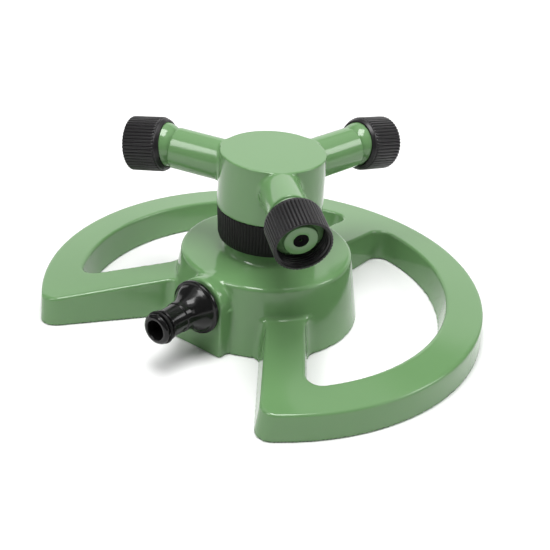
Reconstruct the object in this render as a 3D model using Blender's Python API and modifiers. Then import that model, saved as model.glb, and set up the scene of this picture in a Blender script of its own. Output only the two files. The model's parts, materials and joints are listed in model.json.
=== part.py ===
"""Three-arm rotary garden sprinkler on an open ring base.

Frame: origin on the rotor's axis at ground level, +Z up, the hose inlet towards -Y.
All the dimensions below are in millimetres; MM turns them into Blender's metres.
"""
import math

import bmesh
import bpy
from mathutils import Matrix, Vector

MM = 0.001
GAP = 0.3                      # running and seating gap between neighbouring pieces
OVERRUN = 1.0                  # cutters run at least this far past the solid they cut
MERGE_DISTANCE = 0.01          # points closer than this are one point

# Base moulding: ring, three spokes and the hub drum
RING_OUTER_R = 120.8           # at the ground
RING_OUTER_DRAFT = 0.06        # radius lost per mm of height
RING_INNER_R = 97.2            # ring opening, at the ground
DRUM_R = 51.9                  # hub drum at the ground
HUB_DRAFT = 0.163              # the drum narrows, and the ring's inner wall leans, by this per mm
PLATE_EDGE_Z = 15.1            # top of the ring at its rim
PLATE_HUB_Z = 21.4             # top of the spokes where they meet the drum
DRUM_TOP_Z = 38.1
DRUM_EDGE = 1.6                # rounding of the drum's top edge
DRUM_EDGE_END = 10.0           # degrees; the rounding ends here, where the leaning wall begins
RIM_EDGE = 1.0                 # bevel round the ring's rim
NECK_R = 22.5
NECK_TOP_Z = 45.2
NECK_FILLET = 3.0
SECTOR_HALF_ANGLE = 36.15      # the ring is left open this far to each side of the inlet
SPOKE_WIDTH = 25.0             # end spokes, at the ground
REAR_SPOKE_HALF = 13.0         # half the width of the spoke opposite the inlet
SPOKE_DRAFT = 0.12
RING_CORNER_R = 10.0           # corners of the openings beside the ring
HUB_CORNER_R = 4.5             # corners of the openings beside the drum
RING_END_R = 8.0               # rounded outer corners where the ring ends
WALL = 2.6                     # moulded wall
UNDERCUT = 1.0                 # the base is made this much too deep, then cut off at the ground
BOSS_UNDERCUT = 1.7
CUT_LOW = -3.0                 # cutters run from here ...
CUT_HIGH = 32.0                # ... to here
DRUM_CLEAR = 0.15              # keeps the openings just off the drum's own wall
RIM_CLEAR = 0.05               # and the rounded ring ends just inside the rim
SECTOR_REACH = 140.0           # the open sector's cutter reaches out to here
CORE_CORNER = 0.6              # extra wall at the drum's inner corners
CORE_RIM_LEAN = 1.0            # the rim's wall thickens by this towards its top
CORE_OVERLAP = 0.2             # the openings' walls are this much under WALL thick
CORE_BLOCK_HALF = 24.3         # solid block behind the boss: half width, front and back
CORE_BLOCK_FRONT = 60.0
CORE_BLOCK_BACK = 44.2

# Inlet boss, water channel and riser, all moulded with the base
INLET_Z = 25.2
BOSS_FACE_Y = 55.8             # at the ground
BOSS_FACE_DRAFT = 0.06
BOSS_HALF = 15.9               # at the ground
BOSS_HALF_TOP = 14.2           # at the inlet's axis, and the radius of the arch above it
BOSS_BACK_Y = 40.0
SOCKET_R = 10.0
SOCKET_END_Y = 36.0
CHANNEL_R = 6.0
CHANNEL_TUBE_R = 12.6
RISER_TUBE_R = 13.4
RISER_R = 6.5
SPINDLE_SOCKET_R = 9.3
SPINDLE_SOCKET_Z = 30.0
PLUG_R = 9.7
PLUG_TOP_Z = 11.0

# Hose connector, turned about the inlet's axis
FLANGE_Y = 56.1
FLANGE_R = 14.4
TIP_Y = 87.65
TIP_R = 8.1
TAIL_BORE_R = 5.2
TAIL_THREAD_R = 9.7
TAIL_END_Y = 38.0
FLANGE_T = 1.8
FLANGE_LIP = 0.8               # length and depth of the step in front of the flange
BELL_Y = 59.0                  # the bell flares back to here ...
BELL_LENGTH = 10.0             # ... over this length
BELL_R = 13.2
BELL_FALL = 5.0                # radius lost along the bell
BELL_STEPS = 4
BARREL_R = 7.5
BARREL_BACK = 71.8
BARREL_FRONT = 80.4
RIDGE_R = 8.0                  # the ridge that a coupling's claws catch behind
RIDGE_BACK = 80.7
RIDGE_FRONT = 81.7
LAND_R = 7.1
LAND_BACK = 82.0
GROOVE_R = 6.9                 # O-ring groove
GROOVE_BACK = 82.8
GROOVE_FRONT = 85.0
NOSE_R = 7.9
NOSE_BACK = 85.2
NOSE_CREST = 86.2
NOSE_ROUND = 0.7
NOSE_CHAMFER = 0.5
O_RING_R = 7.95
O_RING_SECTION_R = 0.75
O_RING_Y = 83.9
INLET_WASHER_BORE_R = 6.4

# Spindle and what turns on it
SPINDLE_R = 9.0
SPINDLE_BORE_R = 5.5
SPINDLE_FOOT_Z = 30.3
SPINDLE_TOP_Z = 71.0
THRUST_FLANGE_R = 17.0
THRUST_LOW_Z = 52.0
THRUST_HIGH_Z = 55.0
WASHER_T = 1.4
WASHER_INSET = 0.5             # washers end this far inside the thrust flange
SPINDLE_CHAMFER = 0.8
ROTOR_SEAL_LOW_Z = 60.0
ROTOR_SEAL_HIGH_Z = 66.0
RUN_R = 9.4                    # bores that turn on the spindle

COLLAR_LOW_Z = 45.7
COLLAR_LOW_R = 26.7
COLLAR_HIGH_R = 27.9
COLLAR_WEB_Z = 50.0
COLLAR_CHAMBER_R = 20.0
COLLAR_THREAD_R = 24.3
COLLAR_THREAD_Z = 69.0
COLLAR_EDGE = 1.6              # rounding of the collar's lower edge

HEAD_LOW_Z = 64.0
HEAD_TOP_Z = 94.2
HEAD_LOW_R = 28.15
HEAD_TOP_R = 27.6
HEAD_CHAMBER_R = 24.8
HEAD_ROOF = 2.5
HEAD_WEB_LOW_Z = 69.5
HEAD_WEB_HIGH_Z = 72.5
HEAD_BOSS_R = 17.5
HEAD_BOSS_LOW_Z = 57.0
SEAL_POCKET_R = 12.0
HEAD_PORT_R = 10.5
HEAD_EDGE = 0.5

# Arms: three, moulded with the head
ARM_COUNT = 3
FIRST_ARM_AZ = -43.0
ARM_ROOT_Z = 81.9              # height of the arms' axes at the rotor's axis
ARM_RISE = 2.5                 # degrees above the horizontal
ARM_R = 11.0
ARM_BORE_R = 6.0
ARM_END = 55.2                 # along the arm, from the rotor's axis
ARM_START = 26.1               # the arm's solid starts inside the head's wall
ARM_BORE_START = 16.0

# Ball-jointed nozzles; distances along the nozzle are from the ball's centre
BALL_AT = 62.8                 # along the arm, from the rotor's axis
BALL_R = 12.2
BALL_FRONT = 11.1
BALL_BACK = 7.3
BALL_BORE_R = 4.2
SPIGOT_R = 5.7
SPIGOT_LENGTH = 10.0
SEAL_ANGLES = (40.0, 55.0)     # polar angles that the cup-shaped seal covers
SEAL_T = 0.6
INSERT_BACK = 7.5
INSERT_FACE = 13.6
INSERT_FACE_R = 8.2
INSERT_R = 12.2
INSERT_INNER_FACE = 12.2
INSERT_EDGE = 0.4
INSERT_FLANK_R = 9.3           # foot of the jet disc's sloping flank
INSERT_FLANK_Z = 11.6
INSERT_SHOULDER_Z = 10.9
ORIFICE_R = 3.8
SLEEVE_R = 14.5
SLEEVE_BORE_R = 12.5
SLEEVE_BACK = 3.4
SLEEVE_FRONT = 17.0
SLEEVE_CHAMFER = 1.3
SLEEVE_LIP = 0.6               # the bore widens by this at the front lip
SLEEVE_LIP_BACK = 2.0
SLEEVE_LIP_FRONT = 1.4
# per nozzle: droop below the arm's axis and turn to the left seen from the rotor, in degrees
NOZZLE_AIM = ((15.5, 7.5), (12.0, 0.0), (12.0, 0.0))

FINE = 36                      # segments round the big turned pieces
SMALL = 24                     # and round the small ones
TINY = 16                      # and round the hidden ones
BASE_STEPS = 60                # and round the base
RING_STEPS = 11                # along an opening's outer arc
DRUM_STEPS = 7                 # and its inner arc
SECTOR_STEPS = 6               # along the open sector's arcs
CORNER_STEPS = 3
EDGE_STEPS = 2                 # along the small roundings of the base
ARCH_STEPS = 8
SECTION_STEPS = 8              # round the O-ring's section
BALL_STEPS = 7                 # along the ball's outline
CUP_STEPS = 3                  # along the cups in front of the ball
SEAT_STEPS = 2                 # along the seat behind it
SHARP_ANGLE = 30.0             # degrees; edges sharper than this stay crisp
# degrees that the facets of a round cutter are turned, so that edges never meet exactly
FACET_TURN = {"core_riser": 1.7, "core_channel": 2.9, "socket_bore": 1.3, "channel_bore": 3.7,
              "riser_bore": 2.3, "spindle_socket": 4.3, "plug_bore": 0.9}

GREEN = (0.22, 0.39, 0.20)
BLACK = (0.018, 0.017, 0.018)
RUBBER = (0.03, 0.03, 0.03)
ACETAL = (0.75, 0.74, 0.70)
GREEN_ROUGHNESS = 0.3
BLACK_ROUGHNESS = 0.35
TAIL_ROUGHNESS = 0.2
GRIP_ROUGHNESS = 0.45
RUBBER_ROUGHNESS = 0.7
ACETAL_ROUGHNESS = 0.45


def clear_scene():
    for old in list(bpy.data.objects):
        bpy.data.objects.remove(old, do_unlink=True)


def new_collection(name):
    made = bpy.data.collections.new(name)
    bpy.context.scene.collection.children.link(made)
    return made


def new_material(name, colour, roughness, metallic=0.0):
    made = bpy.data.materials.new(name)
    made.use_nodes = True
    shader = made.node_tree.nodes["Principled BSDF"]
    shader.inputs["Base Color"].default_value = (*colour, 1.0)
    shader.inputs["Roughness"].default_value = roughness
    shader.inputs["Metallic"].default_value = metallic
    return made


def green_plastic(name):
    return new_material(name, GREEN, GREEN_ROUGHNESS)


def black_plastic(name, roughness=BLACK_ROUGHNESS):
    return new_material(name, BLACK, roughness)


def rubber(name):
    return new_material(name, RUBBER, RUBBER_ROUGHNESS)


def acetal(name):
    return new_material(name, ACETAL, ACETAL_ROUGHNESS)


clear_scene()
PARTS = new_collection("garden_sprinkler")
TOOLS = new_collection("cutters_and_forms")


def place(obj, collection, matrix=None):
    collection.objects.link(obj)
    if matrix is not None:
        obj.matrix_world = matrix
    return obj


def as_tool(obj):
    obj.hide_render = True
    obj.display_type = "WIRE"
    return obj


def turned(name, profile, collection, matrix=None, segments=SMALL, closed=True):
    """A solid of revolution about its own Z. The profile's (radius, height) points run down the
    outer side; a profile that starts and ends on the axis is left open there."""
    mesh = bpy.data.meshes.new(name)
    points = [(r * MM, 0.0, z * MM) for r, z in profile]
    count = len(points)
    edges = [(i, i + 1) for i in range(count - 1)]
    if closed:
        edges.append((count - 1, 0))
    mesh.from_pydata(points, edges, [])
    obj = place(bpy.data.objects.new(name, mesh), collection, matrix)
    screw = obj.modifiers.new("Turn", "SCREW")
    screw.axis = "Z"
    screw.steps = segments
    screw.render_steps = segments
    screw.use_merge_vertices = True
    screw.merge_threshold = MERGE_DISTANCE * MM
    screw.use_smooth_shade = True
    return obj


def ring(name, inner_r, outer_r, low, high, collection, matrix=None, segments=TINY):
    profile = [(inner_r, high), (outer_r, high), (outer_r, low), (inner_r, low)]
    return turned(name, profile, collection, matrix, segments)


def rod(name, radius, low, high, collection, matrix=None, segments=SMALL):
    """A capped cylinder along its own Z, its facets turned as FACET_TURN says."""
    turn = FACET_TURN.get(name, 0.0)
    form = bmesh.new()
    middle = Matrix.Translation(Vector((0.0, 0.0, (low + high) / 2.0 * MM)))
    middle = middle @ Matrix.Rotation(math.radians(turn), 4, "Z")
    bmesh.ops.create_cone(form, cap_ends=True, segments=segments, radius1=radius * MM,
                          radius2=radius * MM, depth=(high - low) * MM, matrix=middle)
    mesh = bpy.data.meshes.new(name)
    form.to_mesh(mesh)
    form.free()
    return place(bpy.data.objects.new(name, mesh), collection, matrix)


def lofted(name, outline_at, low, high, collection):
    """A prism with leaning walls: outline_at(z) gives the same number of points at any height."""
    form = bmesh.new()
    loops = []
    for z in (low, high):
        loops.append([form.verts.new((x * MM, y * MM, z * MM)) for x, y in outline_at(z)])
    count = len(loops[0])
    for i in range(count):
        j = (i + 1) % count
        form.faces.new((loops[0][i], loops[0][j], loops[1][j], loops[1][i]))
    form.faces.new(reversed(loops[0]))
    form.faces.new(loops[1])
    bmesh.ops.recalc_face_normals(form, faces=form.faces[:])
    mesh = bpy.data.meshes.new(name)
    form.to_mesh(mesh)
    form.free()
    return place(bpy.data.objects.new(name, mesh), collection)


def combine(obj, tool, operation="DIFFERENCE"):
    step = obj.modifiers.new(tool.name, "BOOLEAN")
    step.operation = operation
    step.solver = "EXACT"
    step.object = as_tool(tool)
    return obj


def finish(obj, material):
    obj.data.materials.append(material)
    if obj.data.polygons:
        obj.data.shade_smooth()
        obj.data.set_sharp_from_angle(angle=math.radians(SHARP_ANGLE))
    return obj


def polar(radius, degrees):
    angle = math.radians(degrees)
    return radius * math.cos(angle), radius * math.sin(angle)


def arc(centre, radius, start, end, steps):
    """Points on an arc, angles in degrees, both ends included."""
    points = []
    for i in range(steps + 1):
        x, y = polar(radius, start + (end - start) * i / steps)
        points.append((centre[0] + x, centre[1] + y))
    return points


def bearing(point, centre=(0.0, 0.0)):
    return math.degrees(math.atan2(point[1] - centre[1], point[0] - centre[0]))


def turned_back(angle, reference):
    """The same direction as angle, within half a turn of reference."""
    while angle - reference > 180.0:
        angle -= 360.0
    while angle - reference < -180.0:
        angle += 360.0
    return angle


def rotate2(point, degrees):
    angle = math.radians(degrees)
    x, y = point
    return (x * math.cos(angle) - y * math.sin(angle), x * math.sin(angle) + y * math.cos(angle))


def wedge_opening(start_az, start_offset, end_az, end_offset, inner_r, outer_r, inner_f, outer_f):
    """Outline of an opening between two spokes, the drum and the ring, with rounded corners.

    The opening's straight sides are parallel to the radial directions start_az and end_az, and
    lie start_offset and end_offset inside them."""
    def side(azimuth, offset, sign):
        # corner centres, in a frame with x along the spoke and y into the opening
        y = offset + outer_f
        far = (math.sqrt((outer_r - outer_f) ** 2 - y * y), y)
        y = offset + inner_f
        near = (math.sqrt((inner_r + inner_f) ** 2 - y * y), y)
        return [rotate2((x, sign * v), azimuth) for x, v in (near, far)]

    near_a, far_a = side(start_az, start_offset, 1.0)
    near_b, far_b = side(end_az, end_offset, -1.0)
    corner = CORNER_STEPS
    points = []
    # start side: from the drum out along the spoke to the ring
    points += arc(near_a, inner_f, turned_back(bearing(near_a) + 180.0, start_az - 90.0),
                  start_az - 90.0, corner)
    points += arc(far_a, outer_f, start_az - 90.0, turned_back(bearing(far_a), start_az), corner)
    start, end = bearing(far_a), turned_back(bearing(far_b), bearing(far_a) + 90.0)
    points += arc((0.0, 0.0), outer_r, start, end, RING_STEPS)[1:-1]
    points += arc(far_b, outer_f, turned_back(bearing(far_b), end_az), end_az + 90.0, corner)
    points += arc(near_b, inner_f, end_az + 90.0,
                  turned_back(bearing(near_b) + 180.0, end_az + 90.0), corner)
    start, end = bearing(near_b), turned_back(bearing(near_a), bearing(near_b) - 90.0)
    points += arc((0.0, 0.0), inner_r, start, end, DRUM_STEPS)[1:-1]
    return points


def drum_radius(z):
    return DRUM_R - HUB_DRAFT * z


def side_opening(mirror, grow):
    """Outline function of the ring's right (or mirrored left) opening, grown by the given wall."""
    def outline_at(z):
        points = wedge_opening(
            -90.0 + SECTOR_HALF_ANGLE, SPOKE_WIDTH - SPOKE_DRAFT * z - grow,
            90.0, REAR_SPOKE_HALF - SPOKE_DRAFT * z - grow,
            drum_radius(z) + DRUM_CLEAR - grow, RING_INNER_R + HUB_DRAFT * z + grow,
            HUB_CORNER_R, RING_CORNER_R)
        if mirror:
            points = [(-x, y) for x, y in reversed(points)]
        return points
    return outline_at


def front_opening(grow):
    """Outline function of the open sector in front, with the ring's two ends rounded off."""
    reach = SECTOR_REACH
    corner = CORNER_STEPS

    def half(z):
        # right half, in a frame with x along the spoke and y into the opening
        lean = SPOKE_DRAFT * z
        inner_r = drum_radius(z) + DRUM_CLEAR - grow
        outer_r = RING_OUTER_R - RING_OUTER_DRAFT * z - RIM_CLEAR - grow
        azimuth = -90.0 + SECTOR_HALF_ANGLE
        y = HUB_CORNER_R - lean - grow
        near = (math.sqrt((inner_r + HUB_CORNER_R) ** 2 - y * y), y)
        points = arc(near, HUB_CORNER_R, turned_back(bearing(near) + 180.0, 270.0), 270.0, corner)
        y = -lean - grow - RING_END_R
        end = (math.sqrt((outer_r - RING_END_R) ** 2 - y * y), y)
        points += arc(end, RING_END_R, 90.0, bearing(end), corner)
        points.append(polar(reach, bearing(end)))
        # y grows towards the inlet, so the frame is mirrored before it is turned into place
        return [rotate2((px, -py), azimuth) for px, py in points]

    def outline_at(z):
        right = half(z)
        left = [(-x, y) for x, y in reversed(right)]
        outer_start, outer_end = bearing(right[-1]), bearing(left[0])
        outside = arc((0.0, 0.0), reach, outer_start, outer_end, SECTOR_STEPS)[1:-1]
        inner_start, inner_end = bearing(left[-1]), bearing(right[0])
        inner_r = math.hypot(*right[0])
        inside = arc((0.0, 0.0), inner_r, inner_start, inner_end, SECTOR_STEPS)[1:-1]
        return right + outside + left + inside
    return outline_at


def plate_top(radius):
    """Height of the gently conical top of ring and spokes."""
    rim = RING_OUTER_R - RIM_EDGE
    slope = (PLATE_HUB_Z - PLATE_EDGE_Z) / (rim - DRUM_R)
    return PLATE_EDGE_Z + slope * (rim - radius)


def boss_outline(half_low, half_high, bottom):
    """The inlet boss seen from the front: flat sides leaning in, a round arch on top."""
    lean = (half_low - half_high) / INLET_Z
    low = half_low - lean * bottom
    points = [(-low, bottom), (low, bottom)]
    points += arc((0.0, INLET_Z), half_high, 0.0, 180.0, ARCH_STEPS)
    return points


def along_inlet():
    """Matrix that turns a piece's own +Z to the inlet's direction, -Y, at the inlet's height."""
    shift = Matrix.Translation(Vector((0.0, 0.0, INLET_Z * MM)))
    return shift @ Matrix.Rotation(math.radians(90.0), 4, "X")


def inlet_boss():
    """The block that holds the hose connector: its front face leans back as it rises."""
    form = bmesh.new()
    loops = []
    for back in (True, False):
        loop = []
        for x, z in boss_outline(BOSS_HALF, BOSS_HALF_TOP, -BOSS_UNDERCUT):
            y = BOSS_BACK_Y if back else BOSS_FACE_Y - BOSS_FACE_DRAFT * z
            loop.append(form.verts.new((x * MM, -y * MM, z * MM)))
        loops.append(loop)
    count = len(loops[0])
    for i in range(count):
        j = (i + 1) % count
        form.faces.new((loops[0][i], loops[0][j], loops[1][j], loops[1][i]))
    form.faces.new(loops[0])
    form.faces.new(reversed(loops[1]))
    bmesh.ops.recalc_face_normals(form, faces=form.faces[:])
    mesh = bpy.data.meshes.new("inlet_boss_form")
    form.to_mesh(mesh)
    form.free()
    return place(bpy.data.objects.new("inlet_boss_form", mesh), TOOLS)


def base_core():
    """What is hollow under the base: under ring and spokes, and inside the drum."""
    rim_r = RING_OUTER_R - WALL
    inset = WALL + CORE_CORNER
    profile = [(0.0, DRUM_TOP_Z - WALL), (drum_radius(DRUM_TOP_Z) - inset, DRUM_TOP_Z - WALL),
               (drum_radius(PLATE_HUB_Z) - inset, plate_top(DRUM_R) - WALL),
               (rim_r - CORE_RIM_LEAN, plate_top(rim_r) - WALL), (rim_r, CUT_LOW), (0.0, CUT_LOW)]
    core = turned("base_core", profile, TOOLS, segments=FINE, closed=False)
    for side_name, mirror in (("right", False), ("left", True)):
        wall = lofted(f"core_wall_{side_name}", side_opening(mirror, WALL - CORE_OVERLAP),
                      CUT_LOW - OVERRUN, CUT_HIGH + OVERRUN, TOOLS)
        combine(core, wall)
    combine(core, lofted("core_wall_front", front_opening(WALL - CORE_OVERLAP),
                         CUT_LOW - OVERRUN, CUT_HIGH + OVERRUN, TOOLS))
    combine(core, rod("core_riser", RISER_TUBE_R, CUT_LOW - OVERRUN, DRUM_TOP_Z, TOOLS))
    combine(core, rod("core_channel", CHANNEL_TUBE_R, 0.0, BOSS_FACE_Y, TOOLS, along_inlet()))
    left, right = -CORE_BLOCK_HALF, CORE_BLOCK_HALF
    near, far = -CORE_BLOCK_FRONT, -CORE_BLOCK_BACK
    front = lofted("core_front_block",
                   lambda z: [(left, near), (right, near), (right, far), (left, far)],
                   CUT_LOW - 2.0 * OVERRUN, DRUM_TOP_Z, TOOLS)
    combine(core, front)
    return core


def make_base():
    neck_fillet = arc((NECK_R + NECK_FILLET, DRUM_TOP_Z + NECK_FILLET), NECK_FILLET,
                      180.0, 270.0, EDGE_STEPS)
    edge_r = drum_radius(DRUM_TOP_Z)
    edge = arc((edge_r - DRUM_EDGE, DRUM_TOP_Z - DRUM_EDGE), DRUM_EDGE,
               90.0, DRUM_EDGE_END, EDGE_STEPS)
    profile = [(0.0, NECK_TOP_Z), (NECK_R, NECK_TOP_Z)] + neck_fillet + edge
    profile += [(drum_radius(PLATE_HUB_Z), plate_top(drum_radius(PLATE_HUB_Z)))]
    rim = RING_OUTER_R - RING_OUTER_DRAFT * PLATE_EDGE_Z
    profile += [(rim - RIM_EDGE, PLATE_EDGE_Z), (rim, PLATE_EDGE_Z - RIM_EDGE)]
    profile += [(RING_OUTER_R + RING_OUTER_DRAFT * UNDERCUT, -UNDERCUT), (0.0, -UNDERCUT)]
    base = turned("base", profile, PARTS, segments=BASE_STEPS, closed=False)
    for side_name, mirror in (("right", False), ("left", True)):
        combine(base, lofted(f"opening_{side_name}", side_opening(mirror, 0.0),
                             CUT_LOW, CUT_HIGH, TOOLS))
    combine(base, lofted("opening_front", front_opening(0.0), CUT_LOW, CUT_HIGH, TOOLS))
    combine(base, inlet_boss(), "UNION")
    combine(base, base_core())
    combine(base, rod("socket_bore", SOCKET_R, SOCKET_END_Y, BOSS_FACE_Y + 5.0 * OVERRUN, TOOLS,
                      along_inlet()))
    combine(base, rod("channel_bore", CHANNEL_R, 0.0, SOCKET_END_Y + OVERRUN, TOOLS,
                      along_inlet(), TINY))
    combine(base, rod("riser_bore", RISER_R, PLUG_TOP_Z, NECK_TOP_Z + OVERRUN, TOOLS,
                      segments=TINY))
    combine(base, rod("spindle_socket", SPINDLE_SOCKET_R, SPINDLE_SOCKET_Z,
                      NECK_TOP_Z + 2.0 * OVERRUN, TOOLS))
    combine(base, rod("plug_bore", PLUG_R + GAP, CUT_LOW, PLUG_TOP_Z + GAP, TOOLS))
    reach = 2.0 * RING_OUTER_R
    combine(base, lofted("ground", lambda z: [(-reach, -reach), (reach, -reach), (reach, reach),
                                              (-reach, reach)], 2.0 * CUT_LOW, 0.0, TOOLS))
    return finish(base, green_plastic("base"))


def make_riser_plug():
    plug = rod("riser_plug", PLUG_R, 0.0, PLUG_TOP_Z, PARTS)
    return finish(plug, green_plastic("riser_plug"))


def make_hose_connector():
    """Male click-type tail: thread, flange, bell, barrel, ridge, O-ring groove and nose ring."""
    bell = []
    for i in range(BELL_STEPS + 1):
        t = i / BELL_STEPS
        bell.append((BELL_R - BELL_FALL * math.sin(t * math.pi / 2.0), BELL_Y + BELL_LENGTH * t))
    lip_y = FLANGE_Y + FLANGE_T
    outer = [(TAIL_THREAD_R, TAIL_END_Y), (TAIL_THREAD_R, FLANGE_Y), (FLANGE_R, FLANGE_Y),
             (FLANGE_R, lip_y), (FLANGE_R - FLANGE_LIP, lip_y + FLANGE_LIP)] + bell
    outer += [(BELL_R - BELL_FALL, BARREL_BACK - GAP), (BARREL_R, BARREL_BACK),
              (BARREL_R, BARREL_FRONT), (RIDGE_R, RIDGE_BACK), (RIDGE_R, RIDGE_FRONT),
              (LAND_R, LAND_BACK), (LAND_R, GROOVE_BACK), (GROOVE_R, GROOVE_BACK),
              (GROOVE_R, GROOVE_FRONT), (NOSE_R, NOSE_BACK), (TIP_R, NOSE_CREST),
              (TIP_R - NOSE_ROUND, TIP_Y - NOSE_CHAMFER), (TIP_R - 2.0 * NOSE_ROUND, TIP_Y)]
    outer.reverse()
    profile = outer + [(TAIL_BORE_R, TAIL_END_Y), (TAIL_BORE_R, TIP_Y)]
    tail = turned("hose_connector", profile, PARTS, along_inlet())
    return finish(tail, black_plastic("hose_connector", TAIL_ROUGHNESS))


def torus(name, major_r, minor_r, height, matrix, material):
    profile = arc((major_r, height), minor_r, 90.0, -270.0, SECTION_STEPS)[:-1]
    return finish(turned(name, profile, PARTS, matrix, TINY), material)


def make_connector_seals():
    torus("connector_o_ring", O_RING_R, O_RING_SECTION_R, O_RING_Y, along_inlet(),
          rubber("connector_o_ring"))
    washer = ring("inlet_washer", INLET_WASHER_BORE_R, TAIL_THREAD_R, SOCKET_END_Y + GAP,
                  TAIL_END_Y - GAP, PARTS, along_inlet())
    finish(washer, rubber("inlet_washer"))


def make_spindle():
    profile = [(SPINDLE_BORE_R, SPINDLE_TOP_Z), (SPINDLE_R - SPINDLE_CHAMFER, SPINDLE_TOP_Z),
               (SPINDLE_R, SPINDLE_TOP_Z - SPINDLE_CHAMFER), (SPINDLE_R, THRUST_HIGH_Z),
               (THRUST_FLANGE_R, THRUST_HIGH_Z), (THRUST_FLANGE_R, THRUST_LOW_Z),
               (SPINDLE_R, THRUST_LOW_Z), (SPINDLE_R, SPINDLE_FOOT_Z),
               (SPINDLE_BORE_R, SPINDLE_FOOT_Z)]
    spindle = turned("spindle", profile, PARTS)
    return finish(spindle, acetal("spindle"))


def make_bearing():
    washer_r = THRUST_FLANGE_R - WASHER_INSET
    low = ring("lower_thrust_washer", RUN_R, washer_r, COLLAR_WEB_Z + GAP,
               COLLAR_WEB_Z + GAP + WASHER_T, PARTS)
    finish(low, acetal("lower_thrust_washer"))
    high = ring("upper_thrust_washer", RUN_R, washer_r, THRUST_HIGH_Z + GAP,
                THRUST_HIGH_Z + GAP + WASHER_T, PARTS)
    finish(high, acetal("upper_thrust_washer"))
    seal = ring("rotor_seal", SPINDLE_R + GAP, SEAL_POCKET_R - GAP,
                ROTOR_SEAL_LOW_Z, ROTOR_SEAL_HIGH_Z, PARTS)
    finish(seal, rubber("rotor_seal"))


def make_bearing_collar():
    """Ring nut screwed up into the head; its web hooks under the spindle's thrust flange."""
    foot = arc((COLLAR_LOW_R - COLLAR_EDGE, COLLAR_LOW_Z + COLLAR_EDGE), COLLAR_EDGE,
               0.0, -90.0, CORNER_STEPS)
    profile = [(COLLAR_CHAMBER_R, COLLAR_THREAD_Z), (COLLAR_THREAD_R, COLLAR_THREAD_Z),
               (COLLAR_THREAD_R, HEAD_LOW_Z - GAP), (COLLAR_HIGH_R, HEAD_LOW_Z - GAP)] + foot
    profile += [(RUN_R, COLLAR_LOW_Z), (RUN_R, COLLAR_WEB_Z), (COLLAR_CHAMBER_R, COLLAR_WEB_Z)]
    collar = turned("bearing_collar", profile, PARTS, segments=FINE)
    return finish(collar, black_plastic("bearing_collar"))


def arm_azimuth(index):
    return FIRST_ARM_AZ + index * 360.0 / ARM_COUNT


def arm_matrix(index):
    """The arm's frame: origin on the rotor's axis, own +Z out along the arm."""
    turn = Matrix.Rotation(math.radians(arm_azimuth(index)), 4, "Z")
    lean = Matrix.Rotation(math.radians(90.0 - ARM_RISE), 4, "Y")
    return Matrix.Translation(Vector((0.0, 0.0, ARM_ROOT_Z * MM))) @ turn @ lean


def ball_centre(index):
    return arm_matrix(index) @ Vector((0.0, 0.0, BALL_AT * MM))


def nozzle_matrix(index, droop, turn_left):
    """Frame at the ball's centre with own +Z along the nozzle."""
    turn = Matrix.Rotation(math.radians(arm_azimuth(index) + turn_left), 4, "Z")
    lean = Matrix.Rotation(math.radians(90.0 - ARM_RISE + droop), 4, "Y")
    return Matrix.Translation(ball_centre(index)) @ turn @ lean


def make_rotor_head():
    profile = [(0.0, HEAD_TOP_Z), (HEAD_TOP_R - HEAD_EDGE, HEAD_TOP_Z),
               (HEAD_TOP_R, HEAD_TOP_Z - HEAD_EDGE),
               (HEAD_LOW_R, HEAD_LOW_Z), (COLLAR_THREAD_R + GAP, HEAD_LOW_Z),
               (COLLAR_THREAD_R + GAP, HEAD_WEB_LOW_Z), (HEAD_BOSS_R, HEAD_WEB_LOW_Z),
               (HEAD_BOSS_R, HEAD_BOSS_LOW_Z), (SEAL_POCKET_R, HEAD_BOSS_LOW_Z),
               (SEAL_POCKET_R, HEAD_WEB_LOW_Z), (HEAD_PORT_R, HEAD_WEB_LOW_Z),
               (HEAD_PORT_R, HEAD_WEB_HIGH_Z), (HEAD_CHAMBER_R, HEAD_WEB_HIGH_Z),
               (HEAD_CHAMBER_R, HEAD_TOP_Z - HEAD_ROOF), (0.0, HEAD_TOP_Z - HEAD_ROOF)]
    head = turned("rotor_head", profile, PARTS, segments=FINE, closed=False)
    for index in range(ARM_COUNT):
        arm = rod(f"arm_form_{index + 1}", ARM_R, ARM_START, ARM_END, TOOLS,
                  arm_matrix(index), SMALL)
        combine(head, arm, "UNION")
    for index in range(ARM_COUNT):
        bore = rod(f"arm_bore_{index + 1}", ARM_BORE_R, ARM_BORE_START, ARM_END + OVERRUN,
                   TOOLS, arm_matrix(index), TINY)
        combine(head, bore)
    return finish(head, green_plastic("rotor_head"))


def sphere_arc(radius, start, end, steps):
    """Profile points (radius, height) on a sphere, polar angles from the nozzle's axis."""
    points = []
    for i in range(steps + 1):
        angle = math.radians(start + (end - start) * i / steps)
        points.append((radius * math.sin(angle), radius * math.cos(angle)))
    return points


def polar_at_height(radius, height):
    return math.degrees(math.acos(height / radius))


def make_nozzle_ball(index):
    """Hollow ball whose spigot is bonded into the end of the arm."""
    profile = [(BALL_BORE_R, BALL_FRONT)]
    profile += sphere_arc(BALL_R, polar_at_height(BALL_R, BALL_FRONT),
                          polar_at_height(BALL_R, -BALL_BACK), BALL_STEPS)
    profile += [(SPIGOT_R, -BALL_BACK), (SPIGOT_R, -BALL_BACK - SPIGOT_LENGTH),
                (BALL_BORE_R, -BALL_BACK - SPIGOT_LENGTH)]
    ball = turned(f"nozzle_ball_{index + 1}", profile, PARTS, nozzle_matrix(index, 0.0, 0.0))
    return finish(ball, green_plastic(f"nozzle_ball_{index + 1}"))


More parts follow.
